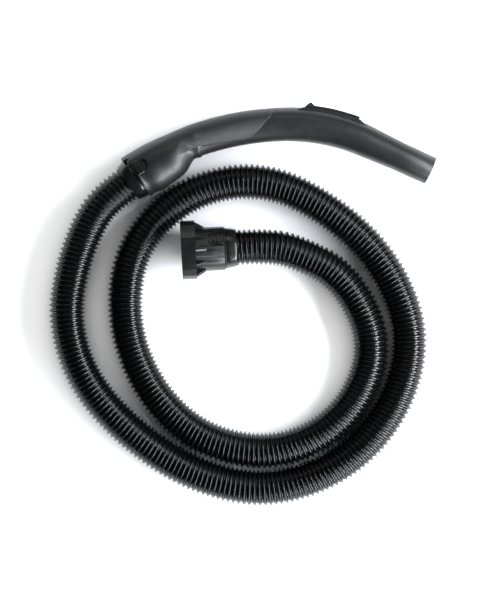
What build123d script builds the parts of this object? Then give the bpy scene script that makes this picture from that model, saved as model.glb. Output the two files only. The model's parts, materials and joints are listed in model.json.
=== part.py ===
from build123d import *
from math import cos, pi, radians, sin, tan
import os

os.makedirs("parts", exist_ok=True)

# Suction hose of a canister vacuum cleaner, lying on a floor (z = 0): a bent hand grip with an air-relief
# slider, a corrugated hose in two open loops, and a flanged coupling that twists onto the machine.
# Each end of the hose is screwed into a cuff. The cuff swivels in a latch collar, and the collar is held
# inside the grip or the coupling by two sprung latches with ribbed pads.

# ---- Hose ----
HOSE_R = 20.0
HOSE_BORE_R = 17.5

# ---- Hose cuffs and the collars that they swivel in. Heights run along the cuff axis: 0 at the casing's
# end face, positive into the casing. ----
NECK_R = 18.0
CUFF_BORE_R = 15.5
CUFF_TOP = 33.0
CUFF_SHOULDER = -2.3
COLLAR_RIM = -2.0
COLLAR_TOP = 24.0
RUNNING_GAP = 0.05
SNAP_GROOVE = (24.3, 25.9)
SNAP_GROOVE_R = 16.9
SEAL_GROOVE = (29.0, 31.4)
SEAL_GROOVE_R = 17.0
POCKET_DEPTH = 26.5
NECK_SEAT_R = 18.6
NECK_SEAT_END = 34.0

# ---- Latches ----
PAD_SPAN = (0.4, 8.4)
TOOTH_SPAN = (11.9, 15.5)
# The tooth and its window are crescents, each the part of one circle that another leaves: (height, radius).
CRESCENT_OUTER = (8.9, 6.6)
CRESCENT_INNER = (3.0, 9.5)
LATCH_ROOT = 22.0
LATCH_BEAD_R = 0.95
LATCH_BEAD_HALF = 4.0
STEM_END = 21.6
LATCH_GAP = 0.4
NOTCH_GAP_DEG = 1.6
TOOTH_RISE = 0.35
TOOTH_HALF_DEG = 13.0
STEM_HALF_DEG = 9.5
RIBS_PER_PAD = 3

# ---- Hand grip. Its own plane holds the bent centreline, with X along the cuff axis. ----
CUFF_AXIS_DEG = 34.0
GRIP_LEAN_DEG = 3.76
GRIP_CORNER = (-154.3, 15.1, 27.6)
GRIP_CUFF_LENGTH = 15.0
GRIP_END_R = 26.9
GRIP_POCKET_R = 24.2
GRIP_TUBE_R = 18.6
GRIP_DUCT_R = 15.5
WAND_ROOT_R = 17.8
WAND_R = 16.0
WAND_BORE_R = 14.0
WAND_LENGTH = 80.0
WAND_FIT_LENGTH = 40.0
LIP_OVERHANG = 6.0
LIP_RADII = (25.9, 27.2)
GRIP_PAD_DEG = -19.0
GRIP_PAD_HALF_DEG = 18.5

# ---- Air-relief slider: an arc about the centre of the grip's front bend. Angles run back from the bend's
# start, in degrees, and are negative towards the wand. ----
FRONT_BEND_R = 205.0
BOSS_R = 224.4
BOSS_HALF_WIDTH = 9.0
BOSS_ENDS_DEG = (-20.9, -4.3)
BOSS_SLOPE_DEG = 4.6
SLIDER_IN_R = 224.7
SLIDER_OUT_R = 227.2
SLIDER_HALF_WIDTH = 7.5
SLIDER_ENDS_DEG = (-20.6, -5.6)
SLIDER_TRAVEL_DEG = 2.9
THUMB_WEDGE = [(224.7, -4.7), (230.1, -6.0), (230.6, -6.25), (230.1, -6.5), (227.1, -7.5), (224.7, -7.5)]
KEEPER_RADII = (217.0, 218.9)
LEG_DEG = -12.9

# ---- Machine coupling ----
COUPLING_YAW_DEG = 3.0
COUPLING_PITCH_DEG = 1.5
COUPLING_BARREL_END = (-59.7, -65.5, 32.0)
MACHINE_CUFF_LENGTH = 14.0
BARREL_R = 24.3
BARREL_POCKET_R = 22.0
FLANGE_SPAN = (31.5, 47.5)
FLANGE_R = 32.7
SOCKET_R = 28.0
SOCKET_DEPTH = 10.0
SOCKET_SEAL_R = 27.0
GUSSETS = 11
GUSSET_TURN_DEG = -3.0
GUSSET_THICKNESS = 1.8
NARROW_FACET_HALF_DEG = 6.5
COUPLING_PAD_DEG = 27.0
COUPLING_PAD_HALF_DEG = 17.0
U_LINE_R = 8.9
U_LINE_CENTRE = 9.4
U_LINE_WIDTH = 0.8
U_LINE_DEPTH = 0.5


def frame_on(frame, local):
    """A plane given in another plane's coordinates."""
    return Plane(frame * local)


HANDLE = Plane(
    origin=GRIP_CORNER,
    x_dir=(cos(radians(CUFF_AXIS_DEG)), sin(radians(CUFF_AXIS_DEG)), 0),
    z_dir=(
        sin(radians(CUFF_AXIS_DEG)) * sin(radians(GRIP_LEAN_DEG)),
        -cos(radians(CUFF_AXIS_DEG)) * sin(radians(GRIP_LEAN_DEG)),
        cos(radians(GRIP_LEAN_DEG)),
    ),
)
GRIP_END = Plane(origin=HANDLE.origin, x_dir=HANDLE.z_dir, z_dir=HANDLE.x_dir)
COUPLING_END = Plane(
    origin=COUPLING_BARREL_END,
    x_dir=(0, 0, 1),
    z_dir=(
        -cos(radians(COUPLING_YAW_DEG)) * cos(radians(COUPLING_PITCH_DEG)),
        -sin(radians(COUPLING_YAW_DEG)) * cos(radians(COUPLING_PITCH_DEG)),
        sin(radians(COUPLING_PITCH_DEG)),
    ),
)


# ---- Helpers for use inside a part's block ----


def turned(frame, outline, mode=Mode.ADD):
    """Spins an outline of (radius, height) points about the frame's Z axis."""
    with BuildSketch(frame_on(frame, Plane.XZ)) as profile:
        with BuildLine():
            Polyline(*outline, close=True)
        make_face()
    revolve(profile.sketch, axis=Axis(frame.origin, frame.z_dir), mode=mode)


def disc(frame, radius, heights, mode=Mode.ADD):
    """A round block, or a round hole, along the frame's Z axis."""
    with BuildSketch(frame_on(frame, Plane.XY.offset(heights[0]))) as circle:
        Circle(radius)
    extrude(circle.sketch, amount=heights[1] - heights[0], mode=mode)


def sector(frame, radii, heights, angle, half_angle, mode=Mode.ADD):
    """An arc-shaped block round the frame's Z axis."""
    with BuildSketch(frame_on(frame, Plane.XY.offset(heights[0]))) as arc_block:
        with BuildLine():
            inner = CenterArc((0, 0), radii[0], angle - half_angle, 2 * half_angle)
            outer = CenterArc((0, 0), radii[1], angle - half_angle, 2 * half_angle)
            Line(inner @ 0, outer @ 0)
            Line(inner @ 1, outer @ 1)
        make_face()
    extrude(arc_block.sketch, amount=heights[1] - heights[0], mode=mode)


def bead(frame, radius, half_length, mode=Mode.ADD):
    """A round bar along the frame's Z axis, centred on the frame."""
    with BuildSketch(frame) as circle:
        Circle(radius)
    extrude(circle.sketch, amount=half_length, both=True, mode=mode)


def crescent(frame, angle, radii, inset=0.0, mode=Mode.ADD):
    """A crescent-shaped block or window, straight out through a wall round the frame's Z axis."""
    outwards = Vector(cos(radians(angle)), sin(radians(angle)), 0)
    along = Vector(-sin(radians(angle)), cos(radians(angle)), 0)
    wall = frame_on(frame, Plane(origin=outwards * radii[0], x_dir=along, z_dir=outwards))
    with BuildSketch(wall) as moon:
        with Locations((0, CRESCENT_OUTER[0])):
            Circle(CRESCENT_OUTER[1] - inset)
        with Locations((0, CRESCENT_INNER[0])):
            Circle(CRESCENT_INNER[1] + inset, mode=Mode.SUBTRACT)
    extrude(moon.sketch, amount=radii[1] - radii[0], mode=mode)


def latch_hinge(frame, angle, pocket_r):
    """The plane across a latch's root bead: X outwards, Z along the bead."""
    radius = pocket_r - 1.6
    outwards = Vector(cos(radians(angle)), sin(radians(angle)), 0)
    along = Vector(-sin(radians(angle)), cos(radians(angle)), 0)
    middle = outwards * radius + Vector(0, 0, LATCH_ROOT)
    return frame_on(frame, Plane(origin=middle, x_dir=outwards, z_dir=along))


def finish_part(name, part):
    """Labels a finished piece and writes its file."""
    part.label = name
    export_step(part, f"parts/{name}.step")


# ---- Pieces that both ends of the hose have ----


def hose_cuff(frame, length, end_r, shoulder_r):
    """Sleeve that the hose screws into, with a neck that the collar turns on."""
    with BuildPart() as cuff:
        turned(
            frame,
            [
                (CUFF_BORE_R, -length),
                (end_r, -length),
                (end_r + 0.6, 1.2 - length),
                (shoulder_r - 0.3, CUFF_SHOULDER - 5.0),
                (shoulder_r, CUFF_SHOULDER - 3.0),
                (shoulder_r, CUFF_SHOULDER),
                (NECK_R, CUFF_SHOULDER),
                (NECK_R, SNAP_GROOVE[0]),
                (SNAP_GROOVE_R, SNAP_GROOVE[0]),
                (SNAP_GROOVE_R, SNAP_GROOVE[1]),
                (NECK_R, SNAP_GROOVE[1]),
                (NECK_R, SEAL_GROOVE[0]),
                (SEAL_GROOVE_R, SEAL_GROOVE[0]),
                (SEAL_GROOVE_R, SEAL_GROOVE[1]),
                (NECK_R, SEAL_GROOVE[1]),
                (NECK_R, CUFF_TOP),
                (CUFF_BORE_R, CUFF_TOP),
            ],
        )
    return cuff.part


def snap_ring(frame, outer_r):
    """Split ring that keeps the latch collar on the cuff's neck."""
    span = (SNAP_GROOVE[0] + RUNNING_GAP, SNAP_GROOVE[1] - RUNNING_GAP)
    with BuildPart() as ring:
        disc(frame, outer_r, span)
        disc(frame, SNAP_GROOVE_R + RUNNING_GAP, span, Mode.SUBTRACT)
        sector(frame, (SNAP_GROOVE_R - 2.0, outer_r + 2.0), span, 180.0, 8.0, Mode.SUBTRACT)
    return ring.part


def lip_seal(frame):
    """Rubber ring near the end of the cuff's neck, with one lip."""
    bottom = SEAL_GROOVE[0] + RUNNING_GAP
    top = SEAL_GROOVE[1] - RUNNING_GAP
    inner_r = SEAL_GROOVE_R + RUNNING_GAP
    lip_r = NECK_R + 0.3
    with BuildPart() as seal:
        turned(
            frame,
            [
                (inner_r, bottom),
                (NECK_R, bottom),
                (lip_r, bottom + 0.5),
                (lip_r, bottom + 0.9),
                (NECK_R - 0.2, top),
                (inner_r, top),
            ],
        )
    return seal.part


def latch_collar(frame, pocket_r, rim_r, pad_deg, pad_half_deg):
    """Sleeve inside the casing, which the cuff's neck turns in. It is open where its two latches lie."""
    outer_r = pocket_r - RUNNING_GAP
    through = (NECK_R - 2.0, rim_r + 4.0)
    with BuildPart() as collar:
        turned(
            frame,
            [
                (NECK_R + RUNNING_GAP, COLLAR_RIM),
                (rim_r, COLLAR_RIM),
                (rim_r, -RUNNING_GAP),
                (outer_r, -RUNNING_GAP),
                (outer_r, COLLAR_TOP),
                (NECK_R + RUNNING_GAP, COLLAR_TOP),
            ],
        )
        for angle in (pad_deg, pad_deg + 180.0):
            sector(frame, through, (0.0, PAD_SPAN[1] + LATCH_GAP), angle, pad_half_deg + 2.0, Mode.SUBTRACT)
            sector(frame, through, (PAD_SPAN[1], TOOTH_SPAN[1] + LATCH_GAP), angle, 17.0, Mode.SUBTRACT)
            sector(frame, through, (TOOTH_SPAN[1], STEM_END + 0.1), angle, 12.0, Mode.SUBTRACT)
            bead(
                latch_hinge(frame, angle, pocket_r),
                LATCH_BEAD_R + RUNNING_GAP,
                LATCH_BEAD_HALF + 0.3,
                Mode.SUBTRACT,
            )
    return collar.part


def latch(frame, angle, pocket_r, pad_r, pad_half_deg):
    """Sprung tongue: ribbed pad at the free end, tooth for the casing's window, bead at the root."""
    tongue = (pocket_r - 2.4, pocket_r - 0.7)
    with BuildPart() as tongue_piece:
        sector(frame, (tongue[0], pad_r), PAD_SPAN, angle, pad_half_deg)
        sector(frame, tongue, (PAD_SPAN[1] - 0.5, TOOTH_SPAN[1]), angle, TOOTH_HALF_DEG)
        sector(frame, tongue, (TOOTH_SPAN[1] - 0.5, STEM_END), angle, STEM_HALF_DEG)
        crescent(frame, angle, (tongue[1] - 0.4, pocket_r + TOOTH_RISE), inset=LATCH_GAP)
        for rib in range(RIBS_PER_PAD):
            rib_start = PAD_SPAN[0] + 1.3 + 2.3 * rib
            rib_span = (rib_start, rib_start + 1.1)
            sector(frame, (pad_r - 0.5, pad_r + 0.6), rib_span, angle, pad_half_deg - 3.0)
        bead(latch_hinge(frame, angle, pocket_r), LATCH_BEAD_R, LATCH_BEAD_HALF)
    return tongue_piece.part


def cut_latch_windows(frame, pocket_r, pad_deg, pad_half_deg):
    """A casing's openings for its two latches: a notch at the end face and a slot for the tooth."""
    through = (pocket_r - 1.5, pocket_r + 8.0)
    notch_half_deg = pad_half_deg + NOTCH_GAP_DEG
    for angle in (pad_deg, pad_deg + 180.0):
        sector(frame, through, (-8.0, PAD_SPAN[1] + LATCH_GAP), angle, notch_half_deg, Mode.SUBTRACT)
        crescent(frame, angle, through, mode=Mode.SUBTRACT)


# ---- Hand grip ----

# The centreline, in the grip's own plane: straight along the cuff axis, then three bends, then the wand end.
with BuildLine() as grip_spine:
    socket_run = Line((0, 0), (54, 0))
    neck_bend = JernArc(socket_run @ 1, socket_run % 1, 85, -15.0)
    palm_bend = JernArc(neck_bend @ 1, neck_bend % 1, 320, -18.5)
    front_bend = JernArc(palm_bend @ 1, palm_bend % 1, FRONT_BEND_R, -24.9)
    wand_run = Line(front_bend @ 1, front_bend @ 1 + (front_bend % 1) * WAND_LENGTH)
duct_run = Line((NECK_SEAT_END - 1.0, 0), (54, 0))

# Sections of the big end: height along the cuff axis, sideways shift of the centre, radius. Its lower side
# runs straight for 36 mm and then rounds off into the grip tube.
BIG_END = [
    (0.0, 0.4, GRIP_END_R),
    (12.0, -0.4, 27.0),
    (24.0, -0.95, 26.6),
    (36.0, -1.7, 25.6),
    (46.0, -1.9, 24.0),
    (54.0, -0.8, 21.4),
]
FRONT_BEND_RADII = [(0.0, GRIP_TUBE_R), (0.35, 18.8), (0.7, 18.4), (1.0, WAND_ROOT_R)]
WAND_FIT_START = 1.0 - WAND_FIT_LENGTH / WAND_LENGTH
SCREW_SITES = [(44.0, -19.6), (41.0, 19.6)]


def across(line, at):
    """The plane square to the centreline, X towards the side of the grip."""
    return frame_on(HANDLE, Plane(origin=line @ at, x_dir=(0, 0, 1), z_dir=line % at))


def upright(x, y, z):
    """A plane parallel to the grip's own plane."""
    return frame_on(HANDLE, Plane(origin=(x, y, z)))


# The slider's frame: its Z is the grip's Z, and its X points from the bend's centre to the bend's start.
bend_start = Vector(*(front_bend @ 0))
bend_centre = bend_start + (front_bend % 0).rotate(Axis.Z, -90) * FRONT_BEND_R
SLIDE = frame_on(HANDLE, Plane(origin=bend_centre, x_dir=bend_start - bend_centre, z_dir=(0, 0, 1)))


def grip_casing():
    """Both half shells in one, before they are parted along the grip's plane."""
    with BuildPart() as casing:
        for height, shift, radius in BIG_END:
            section = Plane(origin=(height, shift, 0), x_dir=(0, 0, 1), z_dir=(1, 0, 0))
            with BuildSketch(frame_on(HANDLE, section)):
                Circle(radius)
        with BuildSketch(across(neck_bend, 0.6)):
            Circle(18.8)
        with BuildSketch(across(neck_bend, 1.0)):
            Circle(GRIP_TUBE_R)
        loft()
        with BuildSketch(across(palm_bend, 0.0)):
            Circle(GRIP_TUBE_R)
        sweep(path=HANDLE.from_local_coords(palm_bend))
        for at, radius in FRONT_BEND_RADII:
            with BuildSketch(across(front_bend, at)):
                Circle(radius)
        loft()
        with BuildSketch(across(wand_run, 0.0)):
            Circle(WAND_ROOT_R)
        with BuildSketch(across(wand_run, WAND_FIT_START)):
            Circle(WAND_R)
        loft()
        disc(across(wand_run, WAND_FIT_START), WAND_R, (0.0, WAND_FIT_LENGTH))
        # Boss that the slider runs on, and the lip that shades the collar's rim.
        with BuildSketch(frame_on(SLIDE, Plane.XY.offset(-BOSS_HALF_WIDTH))) as boss:
            with BuildLine():
                boss_top = CenterArc((0, 0), BOSS_R, BOSS_ENDS_DEG[0], BOSS_ENDS_DEG[1] - BOSS_ENDS_DEG[0])
                boss_foot = CenterArc(
                    (0, 0),
                    BOSS_R - 7.0,
                    BOSS_ENDS_DEG[0] - BOSS_SLOPE_DEG,
                    BOSS_ENDS_DEG[1] - BOSS_ENDS_DEG[0] + 2 * BOSS_SLOPE_DEG,
                )
                Line(boss_top @ 0, boss_foot @ 0)
                Line(boss_top @ 1, boss_foot @ 1)
            make_face()
        extrude(boss.sketch, amount=2 * BOSS_HALF_WIDTH)
        sector(GRIP_END, LIP_RADII, (-LIP_OVERHANG, 1.0), -90.0, 31.5)
        # Air duct, from the cuff's seat to the wand's mouth.
        with BuildSketch(across(duct_run, 0.0)):
            Circle(GRIP_DUCT_R)
        duct_lines = (duct_run, neck_bend, palm_bend, front_bend)
        sweep(path=Wire([HANDLE.from_local_coords(line) for line in duct_lines]), mode=Mode.SUBTRACT)
        turned(
            across(wand_run, 0.0),
            [
                (0.0, -2.0),
                (GRIP_DUCT_R - 0.2, -2.0),
                (WAND_BORE_R, WAND_LENGTH - WAND_FIT_LENGTH),
                (WAND_BORE_R, WAND_LENGTH + 1.0),
                (0.0, WAND_LENGTH + 1.0),
            ],
            Mode.SUBTRACT,
        )
        disc(GRIP_END, GRIP_POCKET_R, (-10.0, POCKET_DEPTH), Mode.SUBTRACT)
        disc(GRIP_END, NECK_SEAT_R, (POCKET_DEPTH, NECK_SEAT_END), Mode.SUBTRACT)
        cut_latch_windows(GRIP_END, GRIP_POCKET_R, GRIP_PAD_DEG, GRIP_PAD_HALF_DEG)
        # Air slot under the slider's front end, and the slot that guides the slider's leg.
        sector(SLIDE, (216.0, 228.0), (-3.5, 3.5), -18.4, 1.7, Mode.SUBTRACT)
        sector(SLIDE, (216.0, 228.0), (-2.1, 2.1), LEG_DEG + SLIDER_TRAVEL_DEG / 2, 2.75, Mode.SUBTRACT)
        for x, y in SCREW_SITES:
            disc(upright(x, y, -14.0), 2.0, (-20.0, 24.0), Mode.SUBTRACT)
            disc(upright(x, y, -14.0), 3.8, (-20.0, 0.0), Mode.SUBTRACT)
    return casing.part


casing_part = grip_casing()

with BuildPart() as handle_shell_left:
    add(casing_part)
    split(bisect_by=HANDLE, keep=Keep.TOP)
finish_part("handle_shell_left", handle_shell_left.part)

with BuildPart() as handle_shell_right:
    add(casing_part)
    split(bisect_by=HANDLE, keep=Keep.BOTTOM)
finish_part("handle_shell_right", handle_shell_right.part)

with BuildPart() as handle_screws:
    for screw_x, screw_y in SCREW_SITES:
        disc(upright(screw_x, screw_y, -14.0), 1.9, (0.0, 20.0))
        disc(upright(screw_x, screw_y, -14.0), 3.5, (-2.4, 0.0))
        bead(upright(screw_x, screw_y, -16.6), 1.2, 0.9, Mode.SUBTRACT)
finish_part("handle_screws", handle_screws.part)

# ---- Air-relief slider ----

with BuildPart() as air_slider:
    slider_width = (-SLIDER_HALF_WIDTH, SLIDER_HALF_WIDTH)
    slider_middle = (SLIDER_ENDS_DEG[0] + SLIDER_ENDS_DEG[1]) / 2
    slider_half = (SLIDER_ENDS_DEG[1] - SLIDER_ENDS_DEG[0]) / 2
    sector(SLIDE, (SLIDER_IN_R, SLIDER_OUT_R), slider_width, slider_middle, slider_half)
    with BuildSketch(frame_on(SLIDE, Plane.XY.offset(-SLIDER_HALF_WIDTH))) as thumb_wedge:
        with BuildLine():
            Polyline(*[(r * cos(radians(d)), r * sin(radians(d))) for r, d in THUMB_WEDGE], close=True)
        make_face()
    extrude(thumb_wedge.sketch, amount=2 * SLIDER_HALF_WIDTH)
    sector(SLIDE, (KEEPER_RADII[1] + 0.02, SLIDER_IN_R + 0.5), (-1.7, 1.7), LEG_DEG, 1.1)
finish_part("air_slider", air_slider.part)

with BuildPart() as slider_keeper:
    sector(SLIDE, KEEPER_RADII, (-5.0, 5.0), LEG_DEG, 1.9)
finish_part("slider_keeper", slider_keeper.part)

# ---- Machine coupling ----


def facet_corners():
    """Corners of the flange's grip: eleven narrow facets, one at each gusset, with eleven wide ones between."""
    corners = []
    for step in range(GUSSETS):
        middle = GUSSET_TURN_DEG + 360.0 / GUSSETS * step
        for offset in (-NARROW_FACET_HALF_DEG, NARROW_FACET_HALF_DEG):
            corner = radians(middle + offset)
            corners.append((FLANGE_R * cos(corner), FLANGE_R * sin(corner)))
    return corners


# Shallow U-shaped line round each latch, open at the barrel's end.
with BuildPart() as u_lines:
    for pad_angle in (COUPLING_PAD_DEG, COUPLING_PAD_DEG + 180.0):
        pad_out = Vector(cos(radians(pad_angle)), sin(radians(pad_angle)), 0)
        pad_along = Vector(-sin(radians(pad_angle)), cos(radians(pad_angle)), 0)
        pad_face = Plane(origin=pad_out * BARREL_R, x_dir=pad_along, z_dir=pad_out)
        with BuildSketch(frame_on(COUPLING_END, pad_face)) as u_line:
            with Locations((0, U_LINE_CENTRE)):
                Circle(U_LINE_R)
            with Locations((0, U_LINE_CENTRE / 2 - 2.0)):
                Rectangle(2 * U_LINE_R, U_LINE_CENTRE + 4.0)
            offset(amount=-U_LINE_WIDTH, mode=Mode.SUBTRACT)
        extrude(u_line.sketch, amount=3.0, both=True)
    disc(COUPLING_END, BARREL_R - U_LINE_DEPTH, (-10.0, 30.0), Mode.SUBTRACT)

with BuildPart() as coupling_body:
    disc(COUPLING_END, BARREL_R, (0.0, FLANGE_SPAN[0] + 1.0))
    with BuildSketch(frame_on(COUPLING_END, Plane.XY.offset(FLANGE_SPAN[0]))) as flange_outline:
        Polygon(*facet_corners(), align=None)
    extrude(flange_outline.sketch, amount=FLANGE_SPAN[1] - FLANGE_SPAN[0])
    for gusset in range(GUSSETS):
        turn = GUSSET_TURN_DEG + 360.0 / GUSSETS * gusset
        radial = Plane.XZ.rotated((0, 0, turn))
        with BuildSketch(frame_on(COUPLING_END, radial)) as triangle:
            Polygon((BARREL_R - 0.8, 20.0), (BARREL_R - 0.8, FLANGE_SPAN[0] + 0.5),
                    (FLANGE_R - 1.4, FLANGE_SPAN[0] + 0.5), (BARREL_R, 20.0), align=None)
        extrude(triangle.sketch, amount=GUSSET_THICKNESS / 2, both=True)
    disc(COUPLING_END, BARREL_POCKET_R, (-1.0, POCKET_DEPTH), Mode.SUBTRACT)
    disc(COUPLING_END, NECK_SEAT_R, (POCKET_DEPTH, FLANGE_SPAN[1]), Mode.SUBTRACT)
    disc(COUPLING_END, SOCKET_SEAL_R, (FLANGE_SPAN[1] - SOCKET_DEPTH - 2.0, FLANGE_SPAN[1]), Mode.SUBTRACT)
    disc(COUPLING_END, SOCKET_R, (FLANGE_SPAN[1] - SOCKET_DEPTH, FLANGE_SPAN[1] + 1.0), Mode.SUBTRACT)
    cut_latch_windows(COUPLING_END, BARREL_POCKET_R, COUPLING_PAD_DEG, COUPLING_PAD_HALF_DEG)
    add(u_lines.part, mode=Mode.SUBTRACT)
    # Bayonet tracks in the socket's wall: an entry slot and the run that the machine's lug turns along.
    for lug in (60.0, 240.0):
        sector(COUPLING_END, (SOCKET_R - 1.0, 30.4), (41.0, FLANGE_SPAN[1] + 1.0), lug, 8.0, Mode.SUBTRACT)
        sector(COUPLING_END, (SOCKET_R - 1.0, 30.4), (41.0, 43.5), lug + 12.0, 15.0, Mode.SUBTRACT)
finish_part("coupling_body", coupling_body.part)

with BuildPart() as socket_seal:
    seal_bottom = FLANGE_SPAN[1] - SOCKET_DEPTH - 2.0
    disc(COUPLING_END, SOCKET_SEAL_R - RUNNING_GAP, (seal_bottom, seal_bottom + 1.9))
    disc(COUPLING_END, 21.0, (seal_bottom, seal_bottom + 1.9), Mode.SUBTRACT)
finish_part("socket_seal", socket_seal.part)

# ---- Swivel ends: cuff, snap ring and seal on the hose, collar and latches in the casing ----

SWIVEL_ENDS = {
    "handle": (GRIP_END, GRIP_POCKET_R, GRIP_END_R, GRIP_PAD_DEG, GRIP_PAD_HALF_DEG),
    "machine": (COUPLING_END, BARREL_POCKET_R, BARREL_R, COUPLING_PAD_DEG, COUPLING_PAD_HALF_DEG),
}
CUFFS = {
    "handle": (GRIP_CUFF_LENGTH, 20.6, 23.3),
    "machine": (MACHINE_CUFF_LENGTH, 20.2, 22.2),
}

for end, (frame, pocket_r, casing_r, pad_deg, pad_half_deg) in SWIVEL_ENDS.items():
    finish_part(f"{end}_cuff", hose_cuff(frame, *CUFFS[end]))
    finish_part(f"{end}_snap_ring", snap_ring(frame, pocket_r - 2.0))
    finish_part(f"{end}_lip_seal", lip_seal(frame))
    finish_part(f"{end}_latch_collar", latch_collar(frame, pocket_r, casing_r - 1.3, pad_deg, pad_half_deg))
    for side, turn in (("front", 0.0), ("back", 180.0)):
        piece = latch(frame, pad_deg + turn, pocket_r, casing_r, pad_half_deg)
        finish_part(f"{end}_latch_{side}", piece)

# ---- Hose: straight out of the handle's cuff, down to the floor, round two open loops and up into the
# machine's cuff ----

handle_exit = GRIP_END.from_local_coords(Vector(0, 0, -GRIP_CUFF_LENGTH))
handle_lead = GRIP_END.from_local_coords(Vector(0, 0, -GRIP_CUFF_LENGTH - 30.0))
machine_exit = COUPLING_END.from_local_coords(Vector(0, 0, -MACHINE_CUFF_LENGTH))
machine_lead = COUPLING_END.from_local_coords(Vector(0, 0, -MACHINE_CUFF_LENGTH - 30.0))

ROUTE = [
    (-212, -41, 26),
    (-229, -87, 22.5),
    (-238, -145, 20),
    (-217, -214, 20),
    (-162, -275, 20),
    (-90, -321, 20),
    (-8, -338, 20),
    (75, -309, 20),
    (132, -246, 20),
    (154, -163, 20),
    (123, -83, 20),
    (63, -24, 20),
    (-14, 14, 20),
    (-98, 0.5, 20),
    (-162.5, -58.7, 20),
    (-174, -145, 20),
    (-143, -226, 20),
    (-82, -282, 20),
    (4, -296, 20),
    (79, -254, 20),
    (113, -174, 20),
    (76, -97, 23),
    (16, -67, 28),
]

route = [handle_exit, handle_lead, *[Vector(*point) for point in ROUTE], machine_lead, machine_exit]
corner_radii = []
for before, corner, after in zip(route, route[1:], route[2:]):
    arriving = corner - before
    leaving = after - corner
    half_turn = radians(arriving.get_angle(leaving)) / 2
    corner_radii.append(0.45 * min(arriving.length, leaving.length) / tan(half_turn))
print("hose arc radii, mm:", [round(radius) for radius in corner_radii])

with BuildPart() as hose:
    with BuildLine() as hose_path:
        FilletPolyline(*route, radius=corner_radii)
    with BuildSketch(Plane(origin=handle_exit, z_dir=-GRIP_END.z_dir)):
        Circle(HOSE_R)
        Circle(HOSE_BORE_R, mode=Mode.SUBTRACT)
    sweep(path=hose_path.line)
hose_length = sum(edge.length for edge in hose_path.line.edges())
hose_section = pi * (HOSE_R**2 - HOSE_BORE_R**2)
print("hose length, mm:", round(hose_length), "volume over section x length:",
      round(hose.part.volume / (hose_section * hose_length), 4))
finish_part("hose", hose.part)
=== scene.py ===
import json
from math import cos, radians, sin, tau

import bpy
from mathutils import Matrix, Vector


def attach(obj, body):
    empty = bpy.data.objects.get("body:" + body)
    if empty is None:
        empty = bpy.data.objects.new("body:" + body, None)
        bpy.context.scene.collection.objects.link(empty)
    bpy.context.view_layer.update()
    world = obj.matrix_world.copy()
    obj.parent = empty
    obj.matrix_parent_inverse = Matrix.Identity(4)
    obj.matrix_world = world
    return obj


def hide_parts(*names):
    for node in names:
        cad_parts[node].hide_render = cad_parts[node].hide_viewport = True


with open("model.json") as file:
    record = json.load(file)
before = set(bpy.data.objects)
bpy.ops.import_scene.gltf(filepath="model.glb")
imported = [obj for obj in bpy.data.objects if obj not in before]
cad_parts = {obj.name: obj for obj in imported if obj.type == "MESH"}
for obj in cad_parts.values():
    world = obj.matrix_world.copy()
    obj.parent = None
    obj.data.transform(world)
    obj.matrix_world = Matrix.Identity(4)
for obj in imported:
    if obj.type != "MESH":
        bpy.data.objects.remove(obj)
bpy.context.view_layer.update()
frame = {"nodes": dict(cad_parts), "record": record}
scene = bpy.context.scene
scene.view_settings.view_transform = "Standard"
MM = 0.001

# ---- Camera: straight above, with the handle at the top of the picture; sizes in metres, sensor in mm ----

VIEW_CENTRE = Vector((-0.0385, -0.1274, 0.022))
VIEW_HEIGHT = 0.6779
CAMERA_HEIGHT = 2.6
SENSOR = 36.0
CLIP_END = 100.0

camera_data = bpy.data.cameras.new("camera")
camera_data.sensor_fit = "VERTICAL"
camera_data.sensor_height = SENSOR
camera_data.lens = SENSOR * (CAMERA_HEIGHT - VIEW_CENTRE.z) / VIEW_HEIGHT
camera_data.clip_end = CLIP_END
camera = bpy.data.objects.new("camera", camera_data)
scene.collection.objects.link(camera)
camera.location = (VIEW_CENTRE.x, VIEW_CENTRE.y, CAMERA_HEIGHT)
scene.camera = camera

# ---- Node helpers ----


class Nodes:
    """A material's node tree, built by naming each node's inputs."""

    def __init__(self, name):
        self.material = bpy.data.materials.new(name)
        self.material.use_nodes = True
        self.tree = self.material.node_tree
        self.surface = self.tree.nodes["Principled BSDF"]

    def put(self, kind, inputs=None, **settings):
        node = self.tree.nodes.new("ShaderNode" + kind)
        for key, value in settings.items():
            setattr(node, key, value)
        for key, value in (inputs or {}).items():
            self.feed(node, key, value)
        return node

    def feed(self, node, key, value):
        if isinstance(value, bpy.types.NodeSocket):
            self.tree.links.new(value, node.inputs[key])
        else:
            node.inputs[key].default_value = value

    def place(self):
        """Object coordinates, in metres."""
        return self.put("TexCoord").outputs["Object"]

    def noise(self, scale, detail=2.0, roughness=0.5, stretch=None):
        where = self.place()
        if stretch:
            where = self.put("Mapping", {"Vector": where, "Scale": stretch}).outputs["Vector"]
        node = self.put(
            "TexNoise",
            {"Vector": where, "Scale": scale, "Detail": detail, "Roughness": roughness},
        )
        return node.outputs["Fac"]

    def ramp(self, value, low, high, to_low=0.0, to_high=1.0):
        node = self.put(
            "MapRange",
            {"Value": value, "From Min": low, "From Max": high, "To Min": to_low, "To Max": to_high},
        )
        return node.outputs["Result"]

    def mix(self, factor, a, b):
        node = self.put("MixRGB", {"Fac": factor, "Color1": a, "Color2": b})
        return node.outputs["Color"]

    def math(self, operation, a, b):
        return self.put("Math", {0: a, 1: b}, operation=operation).outputs["Value"]

    def bump(self, height, strength, distance, under=None):
        inputs = {"Height": height, "Strength": strength, "Distance": distance}
        if under is not None:
            inputs["Normal"] = under
        return self.put("Bump", inputs).outputs["Normal"]


# ---- Materials: noise scales are per metre, bump distances in metres ----

COOL = (0.90, 1.0, 1.16)
WARM = (1.1, 1.0, 0.92)
SPECULAR = 0.5

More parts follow.
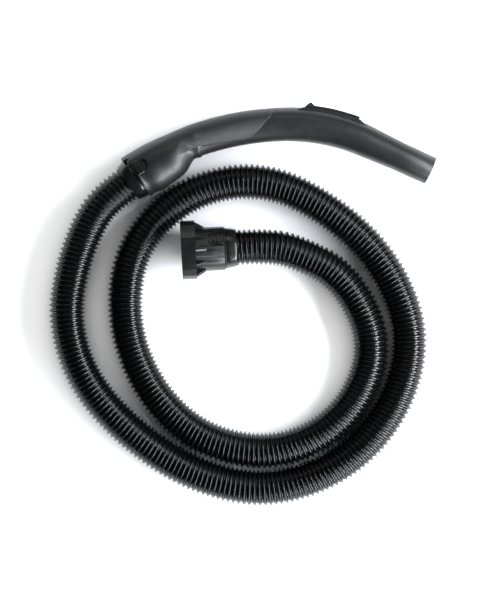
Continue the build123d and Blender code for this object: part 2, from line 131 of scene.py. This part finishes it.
# The diamond area's edges in the grip's plane: a point on each, and the direction in which the area lies.
DIAMOND_FRONT = ((-0.0255, 0.0603), (-0.762, 0.648))
DIAMOND_BACK = ((-0.1121, 0.0352), (0.906, 0.424))
DIAMOND_UNDER_PALM = ((-0.0875, 0.0470), (-0.153, 0.988))
DIAMOND_UNDER_NECK = ((-0.1121, 0.0352), (-0.432, 0.902))
DIAMOND_PITCH = 0.0016
DIAMOND_SLANTS_DEG = (50.0, -22.0)
DIAMOND_DEPTH = 0.00032
SHARP_EDGE = 0.0005
SOFT_EDGE = 0.012


def grey(value, tint=(1.0, 1.0, 1.0)):
    return (value * tint[0], value * tint[1], value * tint[2], 1.0)


def moulded_plastic(name, dark, light, rough, grain=0.12, textured=False):
    """Black moulded plastic: fine grain, uneven gloss, drifting tone and faint rub marks."""
    n = Nodes(name)
    patches = n.noise(22.0, 3.0)
    drift = n.mix(n.ramp(patches, 0.35, 0.65), grey(dark, COOL), grey(light, WARM))
    rubs = n.noise(70.0, 6.0, 0.7, stretch=(1.0, 3.5, 3.5))
    rub_mask = n.ramp(rubs, 0.60, 0.80)
    colour = n.mix(n.math("MULTIPLY", rub_mask, 0.3), drift, grey(light * 2.0, COOL))
    gloss = n.ramp(n.noise(140.0, 4.0, 0.6), 0.3, 0.7, rough - 0.04, rough + 0.05)
    roughness = n.math("ADD", gloss, n.math("MULTIPLY", rub_mask, 0.10))
    soft = n.bump(n.noise(260.0, 2.0), 0.10, 0.0002)
    normal = n.bump(n.noise(2600.0, 3.0, 0.6), grain, 0.0001, soft)
    if textured:
        mask, relief = grip_texture(n)
        tips = n.math("MULTIPLY", mask, n.ramp(relief, 0.55, 1.0))
        colour = n.mix(tips, colour, grey(light * 3.4, COOL))
        height = n.math("MULTIPLY", mask, n.math("ADD", relief, 0.6))
        normal = n.bump(height, 1.0, DIAMOND_DEPTH, normal)
    n.feed(n.surface, "Base Color", colour)
    n.feed(n.surface, "Roughness", roughness)
    n.surface.inputs["Specular IOR Level"].default_value = SPECULAR
    n.feed(n.surface, "Normal", normal)
    return n.material


def grip_texture(n):
    """(mask, relief) of the fine diamonds on the grip's sides, laid out in the grip's own plane."""
    where = n.put("SeparateXYZ", {"Vector": n.place()})
    x = where.outputs["X"]
    y = where.outputs["Y"]

    def inside(edge, fade):
        """0 to 1 across a straight edge, rising into the area over fade metres."""
        point, normal = edge
        along = n.math("ADD", n.math("MULTIPLY", x, normal[0]), n.math("MULTIPLY", y, normal[1]))
        start = point[0] * normal[0] + point[1] * normal[1]
        return n.ramp(along, start, start + fade)

    front = inside(DIAMOND_FRONT, SHARP_EDGE)
    back = inside(DIAMOND_BACK, SOFT_EDGE)
    under_palm = inside(DIAMOND_UNDER_PALM, SHARP_EDGE)
    under_neck = inside(DIAMOND_UNDER_NECK, SHARP_EDGE)
    ends = n.math("MULTIPLY", front, back)
    mask = n.math("MULTIPLY", ends, n.math("MAXIMUM", under_palm, under_neck))
    waves = []
    for slant in DIAMOND_SLANTS_DEG:
        along = n.math(
            "ADD",
            n.math("MULTIPLY", x, cos(radians(slant))),
            n.math("MULTIPLY", y, sin(radians(slant))),
        )
        waves.append(n.math("PINGPONG", n.math("MULTIPLY", along, 1.0 / DIAMOND_PITCH), 0.5))
    relief = n.math("MULTIPLY", n.math("MINIMUM", waves[0], waves[1]), 2.0)
    return mask, relief


def hose_plastic(name):
    """Glossy black flexible hose: drifting tone, specks of dull dust, and a faint ripple."""
    n = Nodes(name)
    patches = n.noise(16.0, 3.0)
    tone = n.ramp(patches, 0.35, 0.7)
    drift = n.mix(tone, grey(0.0015, COOL), grey(0.0030, (1.0, 1.0, 1.02)))
    dust = n.ramp(n.noise(420.0, 5.0, 0.65), 0.62, 0.85)
    n.feed(n.surface, "Base Color", n.mix(n.math("MULTIPLY", dust, 0.2), drift, grey(0.02, WARM)))
    gloss = n.ramp(n.noise(60.0, 4.0, 0.6), 0.3, 0.7, 0.19, 0.26)
    n.feed(n.surface, "Roughness", n.math("ADD", gloss, n.math("MULTIPLY", dust, 0.2)))
    n.surface.inputs["Specular IOR Level"].default_value = SPECULAR
    ripple = n.bump(n.noise(60.0, 2.0), 0.10, 0.0003)
    n.feed(n.surface, "Normal", n.bump(n.noise(900.0, 2.0), 0.02, 0.0001, ripple))
    return n.material


def rubber(name):
    """Dull black rubber with a pale bloom in patches."""
    n = Nodes(name)
    bloom = n.ramp(n.noise(90.0, 5.0, 0.6), 0.45, 0.8)
    colour = n.mix(n.math("MULTIPLY", bloom, 0.5), grey(0.008), grey(0.03, COOL))
    n.feed(n.surface, "Base Color", colour)
    n.feed(n.surface, "Roughness", n.ramp(n.noise(300.0, 3.0), 0.3, 0.7, 0.62, 0.8))
    n.feed(n.surface, "Normal", n.bump(n.noise(1800.0, 3.0), 0.12, 0.0001))
    return n.material


def zinc(name):
    """Zinc-plated steel, a little cloudy."""
    n = Nodes(name)
    cloud = n.noise(500.0, 5.0, 0.6)
    colour = n.mix(n.ramp(cloud, 0.35, 0.65), grey(0.42, COOL), grey(0.60, WARM))
    n.feed(n.surface, "Base Color", colour)
    n.surface.inputs["Metallic"].default_value = 1.0
    n.feed(n.surface, "Roughness", n.ramp(cloud, 0.3, 0.7, 0.28, 0.45))
    n.feed(n.surface, "Normal", n.bump(n.noise(2500.0, 2.0), 0.1, 0.0001))
    return n.material


CASING = moulded_plastic("casing_plastic", 0.0050, 0.0080, 0.42, textured=True)
COUPLING = moulded_plastic("coupling_plastic", 0.0035, 0.0060, 0.32)
CUFF = moulded_plastic("cuff_plastic", 0.0035, 0.0060, 0.25, grain=0.06)
LATCH = moulded_plastic("latch_plastic", 0.0035, 0.0060, 0.36)
SLIDER = moulded_plastic("slider_plastic", 0.0040, 0.0070, 0.42)
RING = moulded_plastic("ring_plastic", 0.0400, 0.0600, 0.35)
HOSE = hose_plastic("hose_plastic")
SEAL = rubber("seal_rubber")
SCREW = zinc("screw_zinc")

SLOT_MATERIALS = {
    "hose": HOSE,
    "casing": CASING,
    "coupling": COUPLING,
    "cuff": CUFF,
    "latch": LATCH,
    "slider": SLIDER,
    "spring_ring": RING,
    "seal": SEAL,
    "screws": SCREW,
}

# ---- Hose: the route's points control one smooth spline, and the ridged tube follows it ----

joints = {joint["name"]: joint for joint in frame["record"]["behaviour"]["joints"]}


def joint_point(name, reach):
    """A point on a joint's axis, reach metres along it."""
    joint = joints[name]
    return Vector(joint["pos_m"]) + Vector(joint["axis"]) * reach


HANDLE_CUFF_LENGTH = 0.015
MACHINE_CUFF_LENGTH = 0.014
LEAD = 0.030
ROUTE_ORDER = 3
ROUTE_STEPS = 60
ROUTE = [
    (-0.212, -0.041, 0.026),
    (-0.229, -0.087, 0.0225),
    (-0.238, -0.145, 0.020),
    (-0.217, -0.214, 0.020),
    (-0.162, -0.275, 0.020),
    (-0.090, -0.321, 0.020),
    (-0.008, -0.338, 0.020),
    (0.075, -0.309, 0.020),
    (0.132, -0.246, 0.020),
    (0.154, -0.163, 0.020),
    (0.123, -0.083, 0.020),
    (0.063, -0.024, 0.020),
    (-0.014, 0.014, 0.020),
    (-0.098, 0.0005, 0.020),
    (-0.1625, -0.0587, 0.020),
    (-0.174, -0.145, 0.020),
    (-0.143, -0.226, 0.020),
    (-0.082, -0.282, 0.020),
    (0.004, -0.296, 0.020),
    (0.079, -0.254, 0.020),
    (0.113, -0.174, 0.020),
    (0.076, -0.097, 0.023),
    (0.016, -0.067, 0.028),
]
route = [
    joint_point("handle_swivel", -HANDLE_CUFF_LENGTH),
    joint_point("handle_swivel", -HANDLE_CUFF_LENGTH - LEAD),
    *[Vector(point) for point in ROUTE],
    joint_point("machine_swivel", -MACHINE_CUFF_LENGTH - LEAD),
    joint_point("machine_swivel", -MACHINE_CUFF_LENGTH),
]

route_curve = bpy.data.curves.new("hose_route", "CURVE")
route_curve.dimensions = "3D"
route_spline = route_curve.splines.new("NURBS")
route_spline.points.add(len(route) - 1)
for control, point in zip(route_spline.points, route):
    control.co = (*point, 1.0)
route_spline.order_u = ROUTE_ORDER
route_spline.use_endpoint_u = True
route_spline.resolution_u = ROUTE_STEPS
route_object = bpy.data.objects.new("hose_route", route_curve)
scene.collection.objects.link(route_object)
route_mesh = bpy.data.meshes.new_from_object(route_object)
line = [vertex.co.copy() for vertex in route_mesh.vertices]
bpy.data.objects.remove(route_object)
bpy.data.meshes.remove(route_mesh)

HOSE_R = 20.0 * MM
VALLEY_R = 16.9 * MM
INNER_R = 16.0 * MM
PITCH = 5.4 * MM
AROUND = 32
END_GAP = 0.25 * MM
BORE_STEP = 9.0 * MM
# The helix is counted from before the tube's start to past its end, and only what lies on the tube is kept.
TURNS_BEFORE = 2
TURNS_PAST = 3
# Places in one pitch, from crest to crest, with the ridge's height there, from 0 in the valley to 1.
RIDGE = [
    (0.0, 1.0),
    (0.11, 0.92),
    (0.22, 0.58),
    (0.34, 0.17),
    (0.5, 0.0),
    (0.66, 0.17),
    (0.78, 0.58),
    (0.89, 0.92),
]


class Path:
    """A polyline read by arc length, with a frame carried along it without twist."""

    def __init__(self, points):
        self.points = points
        self.at = [0.0]
        for a, b in zip(points, points[1:]):
            self.at.append(self.at[-1] + (b - a).length)
        self.length = self.at[-1]
        self.tangents = []
        for i in range(len(points)):
            before = points[max(i - 1, 0)]
            after = points[min(i + 1, len(points) - 1)]
            self.tangents.append((after - before).normalized())
        up = Vector((0.0, 0.0, 1.0))
        self.ups = []
        for tangent in self.tangents:
            up = (up - tangent * up.dot(tangent)).normalized()
            self.ups.append(up.copy())
        self.cursor = 0

    def frame(self, s):
        """(centre, up, side) at arc length s."""
        s = min(max(s, 0.0), self.length)
        while self.cursor > 0 and self.at[self.cursor] > s:
            self.cursor -= 1
        while self.cursor < len(self.at) - 2 and self.at[self.cursor + 1] < s:
            self.cursor += 1
        i = self.cursor
        share = (s - self.at[i]) / (self.at[i + 1] - self.at[i])
        centre = self.points[i].lerp(self.points[i + 1], share)
        tangent = self.tangents[i].lerp(self.tangents[i + 1], share).normalized()
        up = self.ups[i].lerp(self.ups[i + 1], share)
        up = (up - tangent * up.dot(tangent)).normalized()
        return centre, up, tangent.cross(up)


def ring_point(path, s, angle, radius):
    centre, up, side = path.frame(s)
    return centre + (up * cos(angle) + side * sin(angle)) * radius


def ridged_tube(path):
    """A tube with one left-handed helical ridge and a smooth bore. Its mesh lines follow the ridge."""
    rows = len(RIDGE)
    turns = path.length / PITCH
    vertices = []
    faces = []
    columns = []
    for j in range(AROUND + 1):
        advance = j / AROUND
        angle = j / AROUND * tau
        column = {}
        if j < AROUND:
            for i in range(-TURNS_BEFORE * rows, int((turns + TURNS_PAST) * rows)):
                turn, row = divmod(i, rows)
                s = (turn + RIDGE[row][0] + advance) * PITCH
                if END_GAP < s < path.length - END_GAP:
                    column[i] = len(vertices)
                    radius = VALLEY_R + (HOSE_R - VALLEY_R) * RIDGE[row][1]
                    vertices.append(ring_point(path, s, angle, radius))
        else:
            column = {i - rows: index for i, index in columns[0].items()}
        columns.append(column)

    def end_ring(s, radius):
        start = len(vertices)
        for j in range(AROUND):
            vertices.append(ring_point(path, s, j / AROUND * tau, radius))
        return [start + j for j in range(AROUND)]

    mid_r = (VALLEY_R + HOSE_R) / 2
    rim_start = end_ring(0.0, mid_r)
    rim_end = end_ring(path.length, mid_r)
    for j in range(AROUND):
        left = columns[j]
        right = columns[j + 1]
        next_j = (j + 1) % AROUND
        low = max(min(left), min(right))
        high = min(max(left), max(right))
        for i in range(low, high):
            faces.append((left[i], right[i], right[i + 1], left[i + 1]))
        right_side = [right[i] for i in range(min(right), low + 1)]
        left_side = [left[i] for i in range(low, min(left) - 1, -1)]
        faces.append((rim_start[j], rim_start[next_j], *right_side, *left_side))
        left_side = [left[i] for i in range(high, max(left) + 1)]
        right_side = [right[i] for i in range(max(right), high - 1, -1)]
        faces.append((*left_side, rim_end[j], rim_end[next_j], *right_side))
    bore_rings = int(path.length / BORE_STEP)
    rings = [end_ring(path.length * k / bore_rings, INNER_R) for k in range(bore_rings + 1)]
    for near, far in zip(rings, rings[1:]):
        for j in range(AROUND):
            k = (j + 1) % AROUND
            faces.append((near[j], far[j], far[k], near[k]))
    for j in range(AROUND):
        k = (j + 1) % AROUND
        faces.append((rim_start[j], rings[0][j], rings[0][k], rim_start[k]))
        faces.append((rim_end[k], rings[-1][k], rings[-1][j], rim_end[j]))
    return vertices, faces


def new_piece(name, vertices, faces, material):
    mesh = bpy.data.meshes.new(name)
    mesh.from_pydata([tuple(v) for v in vertices], [], faces)
    mesh.validate()
    mesh.update()
    mesh.polygons.foreach_set("use_smooth", [True] * len(mesh.polygons))
    mesh.materials.append(material)
    piece = bpy.data.objects.new(name, mesh)
    scene.collection.objects.link(piece)
    return piece


hose = new_piece("corrugated_hose", *ridged_tube(Path(line)), HOSE)
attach(hose, "hose_line")
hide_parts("hose")

# ---- CAD pieces: moulded edges are eased, and each gets its material ----

SLOT_OF = {entry["node"]: entry["material_slot"] for entry in frame["record"]["subparts"]}
WELD_DISTANCE = 0.002 * MM
EASED_ANGLE = radians(32.0)
EASE_SEGMENTS = 2
EASED = {
    "coupling_body": 0.45 * MM,
    "air_slider": 0.4 * MM,
    "handle_cuff": 0.35 * MM,
    "machine_cuff": 0.35 * MM,
    "handle_latch_collar": 0.3 * MM,
    "machine_latch_collar": 0.3 * MM,
    "handle_latch_front": 0.22 * MM,
    "handle_latch_back": 0.22 * MM,
    "machine_latch_front": 0.22 * MM,
    "machine_latch_back": 0.22 * MM,
    "handle_shell_left": 0.3 * MM,
    "handle_shell_right": 0.3 * MM,
}

for name, node in frame["nodes"].items():
    if name == "hose":
        continue
    material = SLOT_MATERIALS[SLOT_OF[name]]
    node.data.materials.clear()
    node.data.materials.append(material)
    if name in EASED:
        weld = node.modifiers.new("weld", "WELD")
        weld.merge_threshold = WELD_DISTANCE
        ease = node.modifiers.new("ease", "BEVEL")
        ease.width = EASED[name]
        ease.segments = EASE_SEGMENTS
        ease.limit_method = "ANGLE"
        ease.angle_limit = EASED_ANGLE
        ease.harden_normals = True
        ease.use_clamp_overlap = True

# ---- Floor, light and world ----

FLOOR_HALF = 40.0
FLOOR_DROP = 0.0004
# Painted light: the floor's own glow strength, faded into painted shadow near the object.
FLOOR_PAINTED_LIGHT = 0.75
PAINTED_SHADOW_REACH = 0.12
WORLD_COLOUR = (0.95, 0.97, 1.0, 1.0)
WORLD_STRENGTH = 0.06

corners = [(x * FLOOR_HALF, y * FLOOR_HALF) for x, y in ((-1, -1), (1, -1), (1, 1), (-1, 1))]
floor_mesh = bpy.data.meshes.new("floor")
floor_mesh.from_pydata([(x, y, 0.0) for x, y in corners], [], [(0, 1, 2, 3)])
floor = bpy.data.objects.new("floor", floor_mesh)
scene.collection.objects.link(floor)
floor.location.z = -FLOOR_DROP
floor_nodes = Nodes("floor_paper")
floor_nodes.feed(floor_nodes.surface, "Base Color", grey(0.9))
# Painted light: the floor emits white light of its own.
floor_nodes.feed(floor_nodes.surface, "Emission Color", (1.0, 1.0, 1.0, 1.0))
# Painted light and shadow: the floor glows as if lit where it lies open, and the glow fades out where the
# object shelters it, painting the shadow under and between the parts.
painted_shadow_fade = floor_nodes.put("AmbientOcclusion", {"Distance": PAINTED_SHADOW_REACH}, samples=8).outputs["AO"]
painted_floor_light = floor_nodes.ramp(painted_shadow_fade, 0.2, 0.8, 0.0, FLOOR_PAINTED_LIGHT)
floor_nodes.feed(floor_nodes.surface, "Emission Strength", painted_floor_light)
floor_nodes.feed(floor_nodes.surface, "Roughness", 0.9)
floor_nodes.feed(floor_nodes.surface, "Specular IOR Level", 0.0)
floor_mesh.materials.append(floor_nodes.material)

CENTRE = Vector((-0.04, -0.12, 0.02))


def strip_light(name, start, end, width, power, colour):
    """A rectangular light from start to end, in metres, turned to face CENTRE, with its power in watts."""
    start, end = Vector(start), Vector(end)
    data = bpy.data.lights.new(name, "AREA")
    data.shape = "RECTANGLE"
    data.size = width
    data.size_y = (end - start).length
    data.energy = power
    data.color = colour
    light = bpy.data.objects.new(name, data)
    scene.collection.objects.link(light)
    middle = (start + end) / 2
    along = (end - start).normalized()
    back = middle - CENTRE
    back = (back - along * back.dot(along)).normalized()
    turn = Matrix((along.cross(back), along, back)).transposed()
    light.matrix_world = Matrix.Translation(middle) @ turn.to_4x4()


strip_light(
    "window",
    start=(1.35, 0.85, 1.40),
    end=(0.95, -2.0, 0.30),
    width=0.34,
    power=120.0,
    colour=(0.90, 0.94, 1.0),
)
strip_light(
    "low_side",
    start=(1.8, 0.6, 0.16),
    end=(1.8, -1.0, 0.16),
    width=0.22,
    power=6.0,
    colour=(0.95, 0.97, 1.0),
)
strip_light(
    "back_fill",
    start=(-1.1, 1.7, 1.3),
    end=(0.7, 1.7, 1.3),
    width=0.8,
    power=7.0,
    colour=(1.0, 1.0, 1.0),
)

world = bpy.data.worlds.new("world")
world.use_nodes = True
world.node_tree.nodes["Background"].inputs["Color"].default_value = WORLD_COLOUR
world.node_tree.nodes["Background"].inputs["Strength"].default_value = WORLD_STRENGTH
scene.world = world
